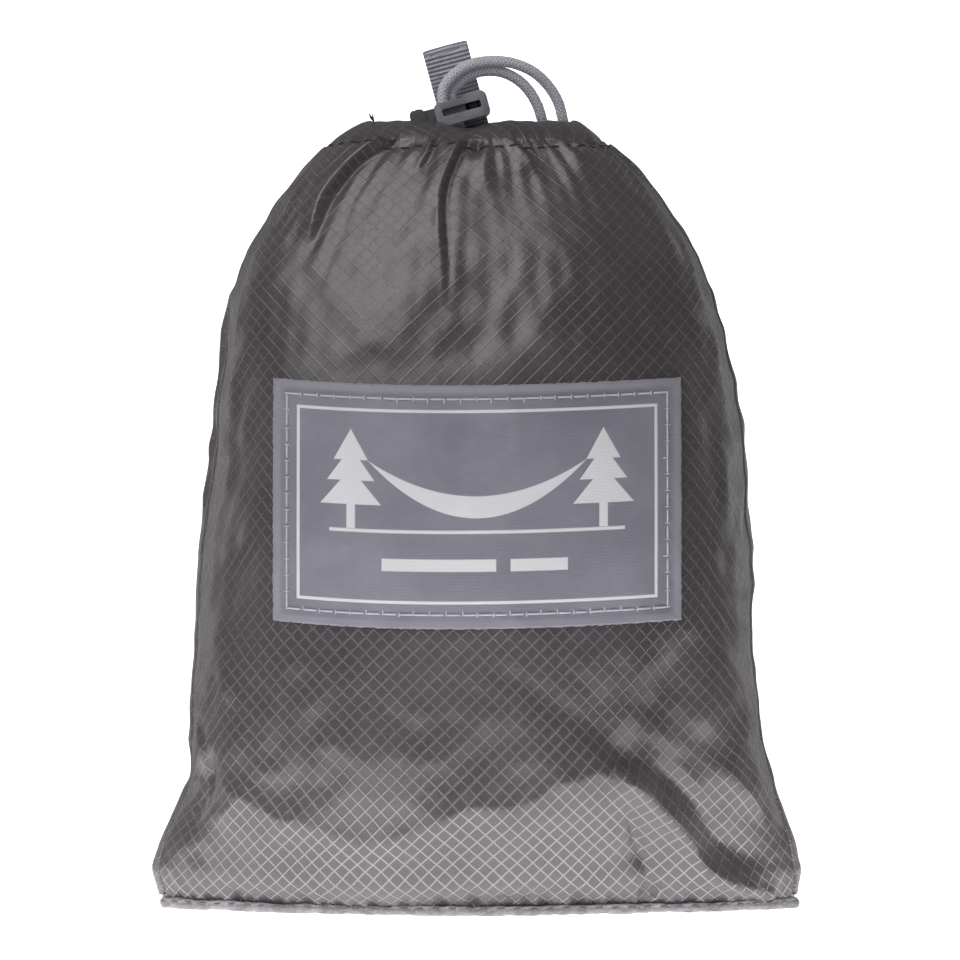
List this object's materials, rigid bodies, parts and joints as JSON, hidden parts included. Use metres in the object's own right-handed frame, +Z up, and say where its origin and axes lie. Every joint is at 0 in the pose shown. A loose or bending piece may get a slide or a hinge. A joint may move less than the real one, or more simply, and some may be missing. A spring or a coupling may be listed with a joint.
{
  "type": "camping hammock",
  "caption": "Ultralight camping hammock packed in its drawstring stuff sack with a cord lock, a webbing tab and a woven front label; rope loops and wire-gate carabiners inside.",
  "frame": {"origin": "bottom centre of the packed sack, on the surface it stands on", "axes": "+Z up towards the gathered mouth, -Y out of the front face that carries the label, +X to the right as the label is faced"},
  "size_m": [0.1372, 0.0707, 0.1858],
  "materials": {
    "ripstop_nylon": "semi-gloss coated diamond ripstop nylon",
    "hem_fabric": "rolled and topstitched ripstop nylon",
    "grey_thread": "matte polyester thread",
    "white_thread": "matte polyester thread",
    "woven_label": "satin woven polyester",
    "drawcord_braid": "braided polyester sheath",
    "lock_plastic": "satin",
    "plunger_plastic": "satin",
    "spring_steel": "satin",
    "webbing": "ribbed flat-woven nylon",
    "hammock_nylon": "soft matte nylon",
    "suspension_rope": "braided sheath",
    "carabiner_aluminium": "satin anodised",
    "gate_steel": "satin"
  },
  "bodies": {
    "stuff_sack": {"sack_body": "ripstop_nylon", "mouth_casing": "ripstop_nylon", "side_seam_left": "ripstop_nylon", "side_seam_right": "ripstop_nylon", "bottom_hem": "hem_fabric", "casing_stitching": "grey_thread", "hem_stitching": "grey_thread", "label": "woven_label", "label_stitching": "white_thread", "drawcord_ring": "drawcord_braid", "drawcord_strand_a": "drawcord_braid", "drawcord_strand_b": "drawcord_braid", "drawcord_knot": "drawcord_braid", "cord_lock_body": "lock_plastic", "cord_lock_spring": "spring_steel", "webbing_loop": "webbing", "webbing_bartack": "grey_thread", "hammock_body": "hammock_nylon", "end_gather_a": "hammock_nylon", "end_gather_b": "hammock_nylon", "suspension_rope_a": "suspension_rope", "suspension_rope_b": "suspension_rope", "rope_whipping_a": "white_thread", "rope_whipping_b": "white_thread", "carabiner_frame_a": "carabiner_aluminium", "carabiner_frame_b": "carabiner_aluminium"},
    "lock_plunger": {"cord_lock_plunger": "plunger_plastic"},
    "gate_a": {"wire_gate_a": "gate_steel"},
    "gate_b": {"wire_gate_b": "gate_steel"}
  },
  "joints": [
    {"name": "plunger_press", "type": "slide", "parent": "stuff_sack", "child": "lock_plunger", "axis": [0.9659, 0, 0.2588], "range_m": [0, 0.0018], "stiffness_N_per_m": 1000, "springref_m": -0.001, "deforming": ["cord_lock_spring"]},
    {"name": "gate_a_hinge", "type": "hinge", "parent": "stuff_sack", "child": "gate_a", "pos_m": [0.0015, 0.0115, 0.1012], "axis": [0, 0, -1], "range_deg": [0, 28], "stiffness_Nm_per_rad": 0.12, "springref_deg": -11.46},
    {"name": "gate_b_hinge", "type": "hinge", "parent": "stuff_sack", "child": "gate_b", "pos_m": [-0.0015, 0.0115, 0.1164], "axis": [0, 0, 1], "range_deg": [0, 28], "stiffness_Nm_per_rad": 0.12, "springref_deg": -11.46}
  ]
}
